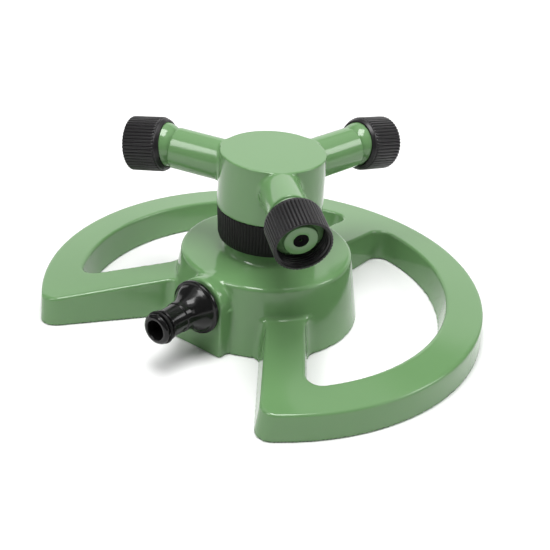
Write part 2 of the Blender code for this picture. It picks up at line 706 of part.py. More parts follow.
def make_ball_seal(index):
    """Thin cup-shaped seal that floats on the front of the ball."""
    inner_r = BALL_R + GAP
    start, end = SEAL_ANGLES
    profile = sphere_arc(inner_r + SEAL_T, start, end, CUP_STEPS)
    profile += sphere_arc(inner_r, end, start, CUP_STEPS)
    seal = turned(f"ball_seal_{index + 1}", profile, PARTS,
                  nozzle_matrix(index, 0.0, NOZZLE_AIM[index][1]), TINY)
    return finish(seal, rubber(f"ball_seal_{index + 1}"))


def make_nozzle_insert(index):
    """Green jet disc on a domed cup that screws into the sleeve's thread."""
    cup_r = BALL_R + GAP + SEAL_T + GAP
    cup = sphere_arc(cup_r, polar_at_height(cup_r, INSERT_BACK),
                     polar_at_height(cup_r, INSERT_INNER_FACE), CUP_STEPS)
    profile = [(ORIFICE_R, INSERT_FACE), (INSERT_FACE_R - INSERT_EDGE, INSERT_FACE),
               (INSERT_FACE_R, INSERT_FACE - INSERT_EDGE), (INSERT_FLANK_R, INSERT_FLANK_Z),
               (INSERT_R, INSERT_SHOULDER_Z),
               (INSERT_R, INSERT_BACK)] + cup + [(ORIFICE_R, INSERT_INNER_FACE)]
    insert = turned(f"nozzle_insert_{index + 1}", profile, PARTS,
                    nozzle_matrix(index, *NOZZLE_AIM[index]))
    return finish(insert, green_plastic(f"nozzle_insert_{index + 1}"))


def make_nozzle_sleeve(index):
    """Black gripped sleeve: its spherical seat hooks behind the ball."""
    seat = sphere_arc(SLEEVE_BORE_R, polar_at_height(SLEEVE_BORE_R, -SLEEVE_BACK), 90.0,
                      SEAT_STEPS)
    front_r = SLEEVE_BORE_R + SLEEVE_LIP
    profile = [(front_r, SLEEVE_FRONT), (SLEEVE_R, SLEEVE_FRONT),
               (SLEEVE_R, SLEEVE_CHAMFER - SLEEVE_BACK),
               (SLEEVE_R - SLEEVE_CHAMFER, -SLEEVE_BACK)] + seat
    profile += [(SLEEVE_BORE_R, SLEEVE_FRONT - SLEEVE_LIP_BACK),
                (front_r, SLEEVE_FRONT - SLEEVE_LIP_FRONT)]
    sleeve = turned(f"nozzle_sleeve_{index + 1}", profile, PARTS,
                    nozzle_matrix(index, *NOZZLE_AIM[index]))
    return finish(sleeve, black_plastic(f"nozzle_sleeve_{index + 1}", GRIP_ROUGHNESS))


make_base()
make_riser_plug()
make_hose_connector()
make_connector_seals()
make_spindle()
make_bearing()
make_bearing_collar()
make_rotor_head()
for nozzle in range(ARM_COUNT):
    make_nozzle_ball(nozzle)
    make_ball_seal(nozzle)
    make_nozzle_insert(nozzle)
    make_nozzle_sleeve(nozzle)
bpy.context.view_layer.update()
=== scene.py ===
import json
import math

import bpy
import numpy as np
from mathutils import Matrix, Vector


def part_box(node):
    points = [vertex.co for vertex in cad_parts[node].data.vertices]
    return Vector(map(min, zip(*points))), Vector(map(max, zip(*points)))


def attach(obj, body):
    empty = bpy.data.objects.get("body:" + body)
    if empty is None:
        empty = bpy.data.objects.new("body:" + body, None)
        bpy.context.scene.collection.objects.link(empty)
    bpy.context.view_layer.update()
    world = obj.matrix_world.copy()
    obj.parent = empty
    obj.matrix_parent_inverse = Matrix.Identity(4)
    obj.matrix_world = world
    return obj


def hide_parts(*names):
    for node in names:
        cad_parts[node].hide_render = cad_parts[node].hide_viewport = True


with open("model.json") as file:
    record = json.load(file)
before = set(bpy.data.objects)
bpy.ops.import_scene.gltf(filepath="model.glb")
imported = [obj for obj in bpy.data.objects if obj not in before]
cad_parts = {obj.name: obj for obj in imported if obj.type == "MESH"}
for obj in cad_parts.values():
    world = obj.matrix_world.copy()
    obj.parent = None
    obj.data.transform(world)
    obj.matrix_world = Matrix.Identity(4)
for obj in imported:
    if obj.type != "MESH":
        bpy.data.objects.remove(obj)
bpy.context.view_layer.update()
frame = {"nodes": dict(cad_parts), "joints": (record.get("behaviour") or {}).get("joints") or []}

# Looks of a three-arm rotary garden sprinkler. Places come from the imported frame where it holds
# them. Lengths are in millimetres, and MM turns them into Blender's metres. Only the floor, the
# lights and the camera are given in metres.
MM = 0.001
JOINTS = {joint["name"]: joint for joint in frame["joints"]}
ARMS = (1, 2, 3)
FULL_TURN = 2.0 * math.pi


def corner_mm(node, which):
    """Lower (0) or upper (1) corner of a CAD node's box."""
    return np.array(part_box(node)[which]) / MM


# Base moulding. A draft is how far a wall leans, per mm of height.
RING_R = corner_mm("base", 1)[0]
NECK_TOP_Z = corner_mm("base", 1)[2]
RIM_DRAFT = 0.06
RING_INNER_R = 97.2
DRUM_R = 51.9
HUB_DRAFT = 0.163
PLATE_TOP_R = RING_R - 1.0     # where PLATE_EDGE_Z is measured
PLATE_EDGE_Z = 15.1
PLATE_HUB_Z = 21.4
DRUM_TOP_Z = 38.1
NECK_R = 22.5
SECTOR_HALF = math.radians(36.15)
SPOKE_WIDTH = 25.0
REAR_SPOKE_HALF = 13.0
SPOKE_DRAFT = 0.12
RING_CORNER_R = 10.0
HUB_CORNER_R = 7.5
HUB_INSET = 1.7                # the plate's cut-outs run this far into the drum
RING_END_R = 8.7
PLATE_EDGE_R = 1.3
DRUM_EDGE_R = 1.7
SPOKE_FILLET_R = 1.6
NECK_FILLET_R = 3.0
FOOT_EDGE_R = 0.5
WALL = 2.6
HOLLOW_EDGE_R = 1.0
BOSS_FACE_Y = 55.8
BOSS_FACE_DRAFT = 0.06
BOSS_BACK_Y = 40.0
BOSS_HALF = 15.9
BOSS_ARCH_R = 14.2
BOSS_SINK_Y = 50.0             # behind this the arch sinks into the drum's top ...
BOSS_SINK = 0.16               # ... by this per mm
BOSS_EDGE_R = 1.1
BOSS_FILLET_R = 1.6
BLOCK_HALF = 24.3
BLOCK_BACK_Y = 44.2
RISER_TUBE_R = 13.4
CHANNEL_TUBE_R = 12.6
RISER_R = 6.5
CHANNEL_R = 6.0
SOCKET_R = 10.0
SOCKET_END_Y = 36.0
SPINDLE_SOCKET_R = 9.3
SPINDLE_SOCKET_Z = 30.0
PLUG_BORE_R = 10.0
PLUG_BORE_Z = 11.3
PLUG_R = 9.7
PLUG_TOP_Z = 11.0
PLUG_EDGE_R = 0.5
BASE_STEP = 1.22               # size of the base mesh's cells
BASE_MARGIN = 2.0 * BASE_STEP

# Hose connector, along the inlet's axis
INLET_Z = (corner_mm("hose_connector", 0)[2] + corner_mm("hose_connector", 1)[2]) / 2.0
TIP_Y = -corner_mm("hose_connector", 0)[1]
FLANGE_R = 14.4
FLANGE_Y = 56.1
BELL_Y = 58.8
BELL_LENGTH = 10.2
BELL_MIDDLE_R = 10.3
BELL_SWING_R = 2.3
BELL_BEND = 0.75               # below 1, the shoulder by the flange is the tighter one
BELL_STEPS = 12
O_RING_R = 7.95
O_RING_Y = 83.9
O_RING_CORD_R = 0.75
O_RING_STEPS = 20

# Rotor
HEAD_TOP_Z = 94.2
HEAD_LOW_Z = 64.0
HEAD_LOW_R = 28.15
HEAD_TOP_R = 27.6
HEAD_EDGE_R = 0.7
HEAD_FOOT_R = 0.5
ARM_ROOT_Z = 81.9
ARM_R = 11.0
ARM_END = 55.2
ARM_EDGE_R = 0.6
ARM_FILLET_R = 1.8
ARM_BORE_R = 6.0
CHAMBER_R = 24.8
CHAMBER_Z = (72.5, 91.7)
THREAD_R = 24.6
WEB_Z = 69.5
SEAL_TUBE_R = (12.0, 17.5)
SEAL_TUBE_Z = 57.0
PORT_R = 10.5
PORT_REACH = 4.0               # the port cuts this far above and below WEB_Z
HEAD_STEP = 0.75
HEAD_MARGIN = 2.0
COLLAR_LOW_Z = 45.7
COLLAR_TOP_Z = 63.7
COLLAR_LOW_R = 26.7
COLLAR_HIGH_R = 27.9
COLLAR_LOW_EDGE_R = 1.5
COLLAR_THREAD_R = 24.3
COLLAR_THREAD_TOP_Z = 69.0
COLLAR_INSIDE_R = 20.0
COLLAR_HOLE_R = 9.4
COLLAR_FLOOR_Z = 50.0
KNURL_COUNT = 96
KNURL_DEPTH = 0.4
KNURL_FADE = (46.9, 0.8, 63.6, 0.3)    # as faded() takes them
KNURL_FOOT_R = 25.5            # only what lies further out than this is knurled
KNURL_ROWS = np.arange(63.2, 46.6, -0.7)
KNURL_SEGMENTS = 8             # per knurl

# Nozzles, along the nozzle's axis from the ball's centre
BALL_R = 12.2
BALL_MOUTH = 11.1
BALL_BACK = -7.3
BALL_BORE_R = 4.2
STEM_R = 5.7
STEM_END = -17.3
SLEEVE_R = 14.5
SLEEVE_BACK = -3.4
SLEEVE_FRONT = 17.0
SLEEVE_BORE_R = 12.5
SLEEVE_MOUTH_R = 13.15
SLEEVE_MOUTH = (15.4, 15.9)    # the bore widens to the mouth between these
REAR_RIM = 1.5
REAR_BEVEL = 1.1
SEAT_STEPS = 6
RIB_COUNT = 48
RIB_DEPTH = 0.6
RIB_END_Z = -1.1               # the ribs end here, before the smooth rear rim ...
RIB_TIP = 0.95                 # ... in a rounded tip of this length
RIB_FOOT_R = SLEEVE_R - RIB_DEPTH - 0.45
RIB_RISE = 0.4                 # the ribs rise to full depth over this much radius
RIB_ROWS = np.arange(RIB_END_Z + 1.4, RIB_END_Z - 0.2, -0.16)
RIB_SEGMENTS = 9               # per rib
INNER_THREAD_PITCH = 1.5
INNER_THREAD_DEPTH = 0.5
INNER_THREAD_FADE = (8.8, 0.8, 15.3, 0.8)
INNER_THREAD_ROWS = np.arange(8.6, 15.4, 0.15)
BORE_TOLERANCE = 0.01          # a point this close to the bore's radius is on the bore
DISC_R = 12.2
DISC_BACK = 7.5
DISC_FRONT = 12.8
DISC_FACE_R = 8.2
DISC_STEP = (8.8, 11.3)        # radius and height at the foot of the raised face
DISC_SHOULDER = 8.8
DISC_CUP_R = 13.4
DISC_CUP_TOP = 12.2
DISC_CUP_STEPS = 8
JET_R = 3.8
# The bush: a near-black piece in the jet's hole that paints the shade inside it.
SHADE_BUSH_R = 3.78
SHADE_BUSH_FRONT = 12.75
SHADE_BUSH_FRONT_R = 3.55
SHADE_BUSH_BACK = 12.25
SHADE_BUSH_JET_R = 0.6
SHADE_BUSH_JET_BACK = 12.3           # just clear of the ball
BALL_STEPS = 30

# Meshing
FAR = 99.0                     # a field's value where there is nothing
TINY = 1e-9
NEWTON_ROUNDS = 4
NEWTON_REACH = 0.05
NORMAL_REACH = 0.2
LEAST_SLOPE_SQUARED = 0.25
LONGEST_MOVE = 0.4             # of a cell, in one round
ARC_STEPS = 5
ARC_ROOM = 0.49                # most of a side that one corner's arc may take
STRAIGHT = 0.02                # a corner that turns by less than twice this isn't rounded
AXIS_R = 0.05                  # a turned solid keeps this far from its axis
SEGMENTS = 96
TAIL_SEGMENTS = 128
SHADE_BUSH_SEGMENTS = 72
SHARP_ANGLE = math.radians(50.0)


# ---- distance fields --------------------------------------------------------------------

def meet(a, b, r):
    """What lies inside both a and b, with the edge between them rounded to r."""
    return np.minimum(-r, np.maximum(a, b)) + np.hypot(np.maximum(a + r, 0), np.maximum(b + r, 0))


def join(a, b, r):
    """a and b together, with a fillet of r where they meet."""
    return -meet(-a, -b, r)


def plate_top(rho):
    slope = (PLATE_HUB_Z - PLATE_EDGE_Z) / (PLATE_TOP_R - DRUM_R)
    return PLATE_EDGE_Z + slope * (PLATE_TOP_R - rho)


def plate(x, y, z, rho, drum_r):
    """Ring and spokes: a low cone, cut by the two side openings and the open sector in front."""
    lean = SPOKE_DRAFT * z
    into_spoke = x * math.cos(SECTOR_HALF) + y * math.sin(SECTOR_HALF)
    spokes = np.maximum(REAR_SPOKE_HALF - lean - x, SPOKE_WIDTH - lean - into_spoke)
    opening = meet(rho - RING_INNER_R - HUB_DRAFT * z, spokes, RING_CORNER_R)
    near = drum_r - HUB_INSET - rho
    opening = meet(opening, near, HUB_CORNER_R)
    sector = meet(into_spoke - lean, near, HUB_CORNER_R)
    outline = meet(rho - RING_R + RIM_DRAFT * z, -sector, RING_END_R)
    return meet(np.maximum(outline, -opening), z - plate_top(rho), PLATE_EDGE_R)


def boss(x, y, z):
    """Boss round the inlet: leaning sides below the inlet's axis, an arch above it."""
    lean = (BOSS_HALF - BOSS_ARCH_R) / INLET_Z
    arch = np.hypot(x, z - INLET_Z) - BOSS_ARCH_R + BOSS_SINK * np.maximum(0.0, y + BOSS_SINK_Y)
    side = np.where(z < INLET_Z, x - BOSS_HALF + lean * z, arch)
    face = -y - BOSS_FACE_Y + BOSS_FACE_DRAFT * z
    return meet(np.maximum(side, y + BOSS_BACK_Y), face, BOSS_EDGE_R)


def base_outside(x, y, z):
    """The moulding's outer skin, the same on both sides of x = 0."""
    x = np.abs(x)
    rho = np.hypot(x, y)
    drum_r = DRUM_R - HUB_DRAFT * z
    drum = meet(rho - drum_r, z - DRUM_TOP_Z, DRUM_EDGE_R)
    body = join(plate(x, y, z, rho, drum_r), drum, SPOKE_FILLET_R)
    body = join(body, boss(x, y, z), BOSS_FILLET_R)
    neck = meet(rho - NECK_R, z - NECK_TOP_Z, FOOT_EDGE_R)
    return join(body, neck, NECK_FILLET_R)


def base_field(x, y, z):
    """The moulding with its hollow underside, riser, water channel and bores."""
    outside = base_outside(x, y, z)
    rho = np.hypot(x, y)
    axle = np.hypot(x, z - INLET_Z)
    hollow = np.maximum(outside + WALL, z - DRUM_TOP_Z + WALL)
    kept = np.minimum(rho - RISER_TUBE_R, np.maximum(axle - CHANNEL_TUBE_R, y))
    kept = np.minimum(kept, np.maximum(np.abs(x) - BLOCK_HALF, y + BLOCK_BACK_Y))
    hollow = meet(hollow, -kept, HOLLOW_EDGE_R)
    bores = np.maximum(rho - RISER_R, PLUG_BORE_Z - z)
    bores = np.minimum(bores, np.maximum(rho - SPINDLE_SOCKET_R, SPINDLE_SOCKET_Z - z))
    bores = np.minimum(bores, np.maximum(rho - PLUG_BORE_R, z - PLUG_BORE_Z))
    bores = np.minimum(bores, np.maximum(axle - SOCKET_R, y + SOCKET_END_Y))
    bores = np.minimum(bores, np.maximum(axle - CHANNEL_R, y))
    solid = np.maximum(np.maximum(outside, -hollow), -bores)
    return meet(solid, -z, FOOT_EDGE_R)


def ball_centre(arm):
    return np.array(JOINTS[f"nozzle_{arm}_tilt"]["pos_m"]) / MM


def arm_direction(arm):
    d = ball_centre(arm) - np.array([0.0, 0.0, ARM_ROOT_Z])
    return d / np.linalg.norm(d)


def head_field(x, y, z):
    """The rotor's head with its arms, chamber, seal tube, threaded socket and bores."""
    rho = np.hypot(x, y)
    wall = HEAD_LOW_R + (HEAD_TOP_R - HEAD_LOW_R) * (z - HEAD_LOW_Z) / (HEAD_TOP_Z - HEAD_LOW_Z)
    trunk = rho - wall
    arms = np.full_like(rho, FAR)
    bores = np.maximum(rho - PORT_R, np.abs(z - WEB_Z) - PORT_REACH)
    for arm in ARMS:
        d = arm_direction(arm)
        along = x * d[0] + y * d[1] + (z - ARM_ROOT_Z) * d[2]
        across = np.sqrt(np.maximum(x * x + y * y + (z - ARM_ROOT_Z) ** 2 - along ** 2, TINY))
        tube = meet(across - ARM_R, along - ARM_END, ARM_EDGE_R)
        tube = np.maximum(tube, SEAL_TUBE_R[1] - along)
        trunk = join(trunk, tube, ARM_FILLET_R)
        arms = np.minimum(arms, tube)
        bores = np.minimum(bores, np.maximum(across - ARM_BORE_R, SEAL_TUBE_R[1] - along))
    # the fillets round the arms stop at the flat top, the arms themselves rise past it
    body = np.minimum(meet(trunk, z - HEAD_TOP_Z, HEAD_EDGE_R), arms)
    body = meet(body, HEAD_LOW_Z - z, HEAD_FOOT_R)
    low, high = CHAMBER_Z
    chamber = np.maximum(rho - CHAMBER_R, np.maximum(low - z, z - high))
    seal_tube = np.maximum(rho - SEAL_TUBE_R[1], SEAL_TUBE_Z - z)
    socket = np.maximum(np.maximum(rho - THREAD_R, z - WEB_Z), -seal_tube)
    pocket = np.maximum(rho - SEAL_TUBE_R[0], z - WEB_Z)
    solid = np.minimum(body, np.maximum(seal_tube, z - WEB_Z))
    for hollow in (chamber, socket, pocket, bores):
        solid = np.maximum(solid, -hollow)
    return solid


# ---- meshes from fields -----------------------------------------------------------------

def gradient(field, points, reach):
    """Direction in which the field grows, by central differences."""
    found = np.empty_like(points)
    for k in range(3):
        shift = np.zeros(3)
        shift[k] = reach
        found[:, k] = field(*(points + shift).T) - field(*(points - shift).T)
    return found / (2.0 * reach)


def edge_crossings(values):
    """Per axis: the grid edges that cross the surface, those that start inside, and where."""
    found = []
    for k in range(3):
        head, tail = [slice(None)] * 3, [slice(None)] * 3
        head[k], tail[k] = slice(0, -1), slice(1, None)
        a, b = values[tuple(head)], values[tuple(tail)]
        crossed = (a < 0) != (b < 0)
        share = np.where(crossed, a / np.where(crossed, a - b, 1.0), 0.0)
        found.append((crossed, a < 0, share))
    return found


def cell_sums(crossings, cells):
    """Per cell, the sum of the places of its crossings, in cells, and their number."""
    total, count = np.zeros((3,) + cells), np.zeros(cells)
    for k, (crossed, _, share) in enumerate(crossings):
        o0, o1 = [o for o in range(3) if o != k]
        for d0 in (0, 1):
            for d1 in (0, 1):
                window = [slice(None)] * 3
                window[o0] = slice(d0, d0 + cells[o0])
                window[o1] = slice(d1, d1 + cells[o1])
                here = crossed[tuple(window)]
                count += here
                total[k] += share[tuple(window)]
                total[o0] += d0 * here
                total[o1] += d1 * here
    return total, count


def cell_quads(crossings, index):
    """A quad round each crossed edge, through the four cells that share it, facing outwards."""
    cells = index.shape
    faces = []
    for k, (crossed, rising, _) in enumerate(crossings):
        o0, o1 = (k + 1) % 3, (k + 2) % 3
        at = np.argwhere(crossed)
        shared = (at[:, o0] > 0) & (at[:, o0] < cells[o0])
        shared &= (at[:, o1] > 0) & (at[:, o1] < cells[o1])
        at = at[shared]
        loop = []
        for s0, s1 in ((-1, -1), (0, -1), (0, 0), (-1, 0)):
            cell = at.copy()
            cell[:, o0] += s0
            cell[:, o1] += s1
            loop.append(index[tuple(cell.T)])
        quads = np.stack(loop, 1)
        flip = ~rising[tuple(at.T)]
        quads[flip] = quads[flip][:, ::-1]
        faces.append(quads)
    return np.concatenate(faces)


def settle(field, points, step):
    """Moves the points onto the surface by Newton's method."""
    for _ in range(NEWTON_ROUNDS):
        slope = gradient(field, points, NEWTON_REACH)
        squared = np.maximum((slope ** 2).sum(1, keepdims=True), LEAST_SLOPE_SQUARED)
        move = slope * (field(*points.T)[:, None] / squared)
        length = np.linalg.norm(move, axis=1, keepdims=True)
        points -= move * np.minimum(1.0, LONGEST_MOVE * step / np.maximum(length, TINY))


def surface_net(field, low, high, step):
    """Closed quad mesh of the surface where the field is zero, with its exact normals."""
    axes = [np.arange(low[k], high[k] + step, step) for k in range(3)]
    values = field(*np.meshgrid(*axes, indexing="ij"))
    cells = tuple(n - 1 for n in values.shape)
    crossings = edge_crossings(values)
    total, count = cell_sums(crossings, cells)
    used = count > 0
    index = np.full(cells, -1)
    index[used] = np.arange(used.sum())
    corner = np.argwhere(used)
    points = np.empty(corner.shape)
    for k in range(3):
        points[:, k] = axes[k][corner[:, k]] + step * total[k][used] / count[used]
    settle(field, points, step)
    normals = gradient(field, points, NORMAL_REACH)
    normals /= np.maximum(np.linalg.norm(normals, axis=1, keepdims=True), TINY)
    return points, cell_quads(crossings, index), normals


def as_object(name, points, faces, matrix=None):
    mesh = bpy.data.meshes.new(name)
    mesh.from_pydata((points * MM).tolist(), [], faces.tolist())
    if matrix is not None:
        mesh.transform(matrix)
    mesh.shade_smooth()
    made = bpy.data.objects.new(name, mesh)
    bpy.context.scene.collection.objects.link(made)
    return made


def sculpted(name, field, node, margin, step):
    """Mesh of a field, over the box of the CAD node that it replaces and a margin round it."""
    low, high = corner_mm(node, 0) - margin, corner_mm(node, 1) + margin
    points, faces, normals = surface_net(field, low, high, step)
    made = as_object(name, points, faces)
    made.data.normals_split_custom_set_from_vertices(normals.tolist())
    return made


# ---- turned pieces ----------------------------------------------------------------------

def soften(corners):
    """Closed outline from (radius, height, rounding) corners. A rounded corner is an arc."""
    count = len(corners)
    outline = []
    for i in range(count):
        here = np.array(corners[i][:2], float)
        rounding = corners[i][2] if len(corners[i]) > 2 else 0.0
        to_last = np.array(corners[i - 1][:2]) - here
        to_next = np.array(corners[(i + 1) % count][:2]) - here
        room = ARC_ROOM * min(np.linalg.norm(to_last), np.linalg.norm(to_next))
        u, v = to_last / np.linalg.norm(to_last), to_next / np.linalg.norm(to_next)
        half = math.acos(max(-1.0, min(1.0, float(u @ v)))) / 2.0
        if rounding <= 0.0 or half > math.pi / 2.0 - STRAIGHT:
            outline.append(here)
            continue
        back = min(rounding / math.tan(half), room)
        radius = back * math.tan(half)
        centre = here + (u + v) / np.linalg.norm(u + v) * radius / math.sin(half)
        start, end = here + u * back - centre, here + v * back - centre
        first = math.atan2(start[1], start[0])
        swing = math.atan2(end[1], end[0]) - first
        swing = (swing + math.pi) % FULL_TURN - math.pi
        for s in range(ARC_STEPS + 1):
            angle = first + swing * s / ARC_STEPS
            outline.append(centre + radius * np.array([math.cos(angle), math.sin(angle)]))
    return np.array(outline)


def turned(name, outline, segments, matrix=None, relief=None):
    """Turns a closed outline into a solid. relief(angle, radius, height) adds to its radius."""
    r, z = outline[:, 0], outline[:, 1]
    area = np.sum(r * np.roll(z, -1) - np.roll(r, -1) * z)
    if area < 0:
        outline = outline[::-1]
        r, z = outline[:, 0], outline[:, 1]
    angle = np.arange(segments) * FULL_TURN / segments
    a, rr = np.meshgrid(angle, r, indexing="ij")
    zz = np.broadcast_to(z, rr.shape)
    if relief is not None:
        rr = rr + relief(a, rr, zz)
    points = np.stack([rr * np.cos(a), rr * np.sin(a), zz], -1).reshape(-1, 3)
    n = len(r)
    s, i = np.meshgrid(np.arange(segments), np.arange(n), indexing="ij")
    s1, i1 = (s + 1) % segments, (i + 1) % n
    faces = np.stack([s * n + i, s1 * n + i, s1 * n + i1, s * n + i1], -1).reshape(-1, 4)
    made = as_object(name, points, faces, matrix)
    made.data.set_sharp_from_angle(angle=SHARP_ANGLE)
    return made


def sphere_points(radius, low, high, steps):
    """Corners on a sphere about the origin, from one height to another."""
    first, last = math.acos(low / radius), math.acos(high / radius)
    angles = [first + (last - first) * i / steps for i in range(steps + 1)]
    return [(radius * math.sin(angle), radius * math.cos(angle)) for angle in angles]


def frame_along(origin_mm, axis):
    """Matrix with its own +Z along axis."""
    turn = Vector(axis).to_track_quat("Z", "Y").to_matrix().to_4x4()
    return Matrix.Translation(Vector(origin_mm) * MM) @ turn


def inlet_frame():
    return frame_along((0.0, 0.0, INLET_Z), (0.0, -1.0, 0.0))


def nozzle_frame(arm):
    return frame_along(ball_centre(arm), JOINTS[f"sleeve_{arm}_turn"]["axis"])


def faded(height, low, low_span, high, high_span):
    """0 up to low, rising to 1 over low_span, and back to 0 at high over high_span."""
    return (np.clip((height - low) / low_span, 0, 1)
            * np.clip((high - height) / high_span, 0, 1))


def rib_relief(angle, radius, height):
    """Half-round ribs along the sleeve's side, each ended by a rounded tip at its rear."""
    u = 2.0 * ((angle * RIB_COUNT / FULL_TURN) % 1.0) - 1.0
    v = np.maximum(0.0, (RIB_END_Z + RIB_TIP - height) / RIB_TIP)
    rib = np.sqrt(np.maximum(0.0, 1.0 - u * u - v * v))
    on_side = np.clip((radius - RIB_FOOT_R) / RIB_RISE, 0.0, 1.0)
    return RIB_DEPTH * rib * on_side * (height <= SLEEVE_FRONT)


def sleeve_relief(angle, radius, height):
    """The ribs outside, and a screw thread on the straight part of the bore."""
    turn = (height / INNER_THREAD_PITCH - angle / FULL_TURN) % 1.0
    thread = INNER_THREAD_DEPTH * np.abs(2.0 * turn - 1.0)
    in_bore = np.abs(radius - SLEEVE_BORE_R) < BORE_TOLERANCE
    thread = thread * faded(height, *INNER_THREAD_FADE) * in_bore
    return rib_relief(angle, radius, height) + thread


def knurl_relief(angle, radius, height):
    """Fine upright knurls round the collar."""
    u = np.cos(angle * KNURL_COUNT) * 0.5 + 0.5
    return KNURL_DEPTH * np.sqrt(u) * faded(height, *KNURL_FADE) * (radius > KNURL_FOOT_R)


def make_sleeve(arm):
    groove_r = SLEEVE_R - RIB_DEPTH
    corners = [(SLEEVE_MOUTH_R, SLEEVE_FRONT, 0.2), (groove_r, SLEEVE_FRONT, 0.35)]
    corners += [(groove_r, z) for z in RIB_ROWS]
    corners += [(groove_r, SLEEVE_BACK + REAR_RIM, 0.5),
                (groove_r - REAR_BEVEL, SLEEVE_BACK, 0.3)]
    corners += sphere_points(SLEEVE_BORE_R, SLEEVE_BACK, 0.0, SEAT_STEPS)
    corners += [(SLEEVE_BORE_R, z) for z in INNER_THREAD_ROWS]
    corners += [(SLEEVE_BORE_R, SLEEVE_MOUTH[0]), (SLEEVE_MOUTH_R, SLEEVE_MOUTH[1], 0.1)]
    return turned(f"sleeve_{arm}_ribbed", soften(corners), RIB_COUNT * RIB_SEGMENTS,
                  nozzle_frame(arm), sleeve_relief)


def make_insert(arm):
    """Jet disc: a raised face with the jet's hole, and a hollow back that clears the ball."""
    corners = [(JET_R, DISC_FRONT, 0.15), (DISC_FACE_R, DISC_FRONT, 0.4), (*DISC_STEP, 0.3),
               (DISC_R, DISC_SHOULDER, 0.3), (DISC_R, DISC_BACK)]
    corners += sphere_points(DISC_CUP_R, DISC_BACK, DISC_CUP_TOP, DISC_CUP_STEPS)
    corners += [(JET_R, DISC_CUP_TOP, 0.1)]
    return turned(f"jet_disc_{arm}", soften(corners), SEGMENTS, nozzle_frame(arm))


def make_shade_bush(arm):
    """Near-black bush that lines the jet disc's hole and narrows it: painted shade that makes the
    hole look black inside.
    """
    corners = [(SHADE_BUSH_JET_R, SHADE_BUSH_JET_BACK, 0.02), (SHADE_BUSH_R, SHADE_BUSH_BACK), (SHADE_BUSH_R, SHADE_BUSH_FRONT, 0.1),
               (SHADE_BUSH_FRONT_R, SHADE_BUSH_FRONT, 0.1)]
    return turned(f"jet_bush_{arm}", soften(corners), SHADE_BUSH_SEGMENTS, nozzle_frame(arm))


def make_ball(arm):
    corners = [(BALL_BORE_R, BALL_MOUTH, 0.3)]
    corners += sphere_points(BALL_R, BALL_MOUTH, BALL_BACK, BALL_STEPS)
    corners += [(STEM_R, BALL_BACK), (STEM_R, STEM_END, 0.3), (BALL_BORE_R, STEM_END, 0.2)]
    return turned(f"ball_{arm}", soften(corners), SEGMENTS,
                  frame_along(ball_centre(arm), arm_direction(arm)))


def make_collar():
    groove_r = COLLAR_LOW_R - KNURL_DEPTH
    slope = (COLLAR_HIGH_R - COLLAR_LOW_R) / (COLLAR_TOP_Z - COLLAR_LOW_Z)
    corners = [(COLLAR_INSIDE_R, COLLAR_THREAD_TOP_Z, 0.3),
               (COLLAR_THREAD_R, COLLAR_THREAD_TOP_Z, 0.4), (COLLAR_THREAD_R, COLLAR_TOP_Z),
               (COLLAR_HIGH_R - KNURL_DEPTH, COLLAR_TOP_Z, 0.25)]
    corners += [(groove_r + slope * (z - COLLAR_LOW_Z), z) for z in KNURL_ROWS]
    corners += [(groove_r, COLLAR_LOW_Z, COLLAR_LOW_EDGE_R), (COLLAR_HOLE_R, COLLAR_LOW_Z, 0.3),
                (COLLAR_HOLE_R, COLLAR_FLOOR_Z), (COLLAR_INSIDE_R, COLLAR_FLOOR_Z)]
    return turned("collar_knurled", soften(corners), KNURL_COUNT * KNURL_SEGMENTS, None,
                  knurl_relief)


def bell_points():
    """The bell in front of the flange: half a wave, from its wide end down to the barrel."""
    shares = [i / BELL_STEPS for i in range(BELL_STEPS + 1)]
    return [(BELL_MIDDLE_R + BELL_SWING_R * math.cos(math.pi * t ** BELL_BEND),
             BELL_Y + BELL_LENGTH * t) for t in shares]


def make_connector():
    corners = [
        (9.7, 38.0, 0.3), (9.7, FLANGE_Y),                             # root, in the socket
        (FLANGE_R, FLANGE_Y, 0.3), (FLANGE_R, FLANGE_Y + 1.9, 0.7),    # flange
        (13.0, FLANGE_Y + 2.2, 0.3), *bell_points(),
        (8.0, 71.2, 0.2), (7.5, 71.8, 0.2), (7.5, 80.2, 0.3),          # barrel
        (8.0, 80.6, 0.3), (8.0, 81.7, 0.3),                            # ridge
        (7.1, 82.1, 0.2), (7.1, 82.8, 0.15), (6.9, 82.9), (6.9, 85.0),  # groove of the O-ring
        (7.8, 85.1, 0.3), (8.1, 86.2, 0.6), (7.4, 87.2, 0.6),          # nose ring
        (6.6, TIP_Y, 0.5), (5.2, TIP_Y, 0.6), (5.2, 38.0, 0.3),        # tip and bore
    ]
    return turned("hose_tail", soften(corners), TAIL_SEGMENTS, inlet_frame())


def make_o_ring():
    angles = np.arange(O_RING_STEPS) * FULL_TURN / O_RING_STEPS
    points = [(O_RING_R + O_RING_CORD_R * math.cos(t), O_RING_Y + O_RING_CORD_R * math.sin(t))
              for t in angles]
    return turned("o_ring", np.array(points), SEGMENTS, inlet_frame())


def make_plug():
    corners = [(AXIS_R, 0.0), (PLUG_R, 0.0, PLUG_EDGE_R), (PLUG_R, PLUG_TOP_Z, PLUG_EDGE_R),
               (AXIS_R, PLUG_TOP_Z)]
    return turned("plug", soften(corners), SEGMENTS)


# ---- materials --------------------------------------------------------------------------

PLASTIC_IOR = 1.5
MOTTLE = (38.0, 4.0)           # scale and detail of the colour's noise
POLISH = (160.0, 5.0)          # scale and detail of the roughness's noise
POLISH_RANGE = (0.3, 0.7)
GRAIN_DETAIL = 2.0
GRAIN_DEPTH_M = 0.0001


